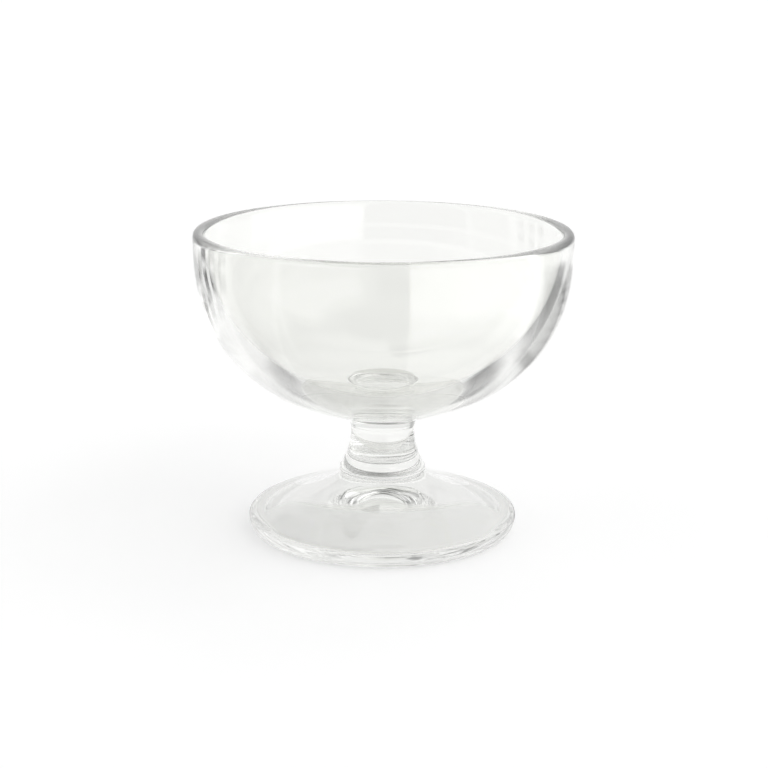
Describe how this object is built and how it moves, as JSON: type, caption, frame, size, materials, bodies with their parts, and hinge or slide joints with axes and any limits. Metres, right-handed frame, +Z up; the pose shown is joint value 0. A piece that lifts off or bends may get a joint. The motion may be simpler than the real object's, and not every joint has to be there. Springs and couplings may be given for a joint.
{
  "type": "dessert glass",
  "caption": "Clear stemmed dessert glass: a deep round bowl with a rounded rim, fused to a short waisted stem, a ring and a broad foot that is hollow underneath. It stands on its foot and holds one serving.",
  "frame": {"origin": "middle of the flat ring that the foot rests on", "axes": "+Z up the axis of the glass, from the foot to the rim; the glass is round, so X and Y are free"},
  "size_m": [0.105, 0.105, 0.0858],
  "materials": {
    "clear_glass": "fire-polished, clear and colourless"
  },
  "bodies": {
    "root": {"foot": "clear_glass", "foot_ring": "clear_glass", "stem": "clear_glass", "bowl": "clear_glass"}
  },
  "joints": []
}
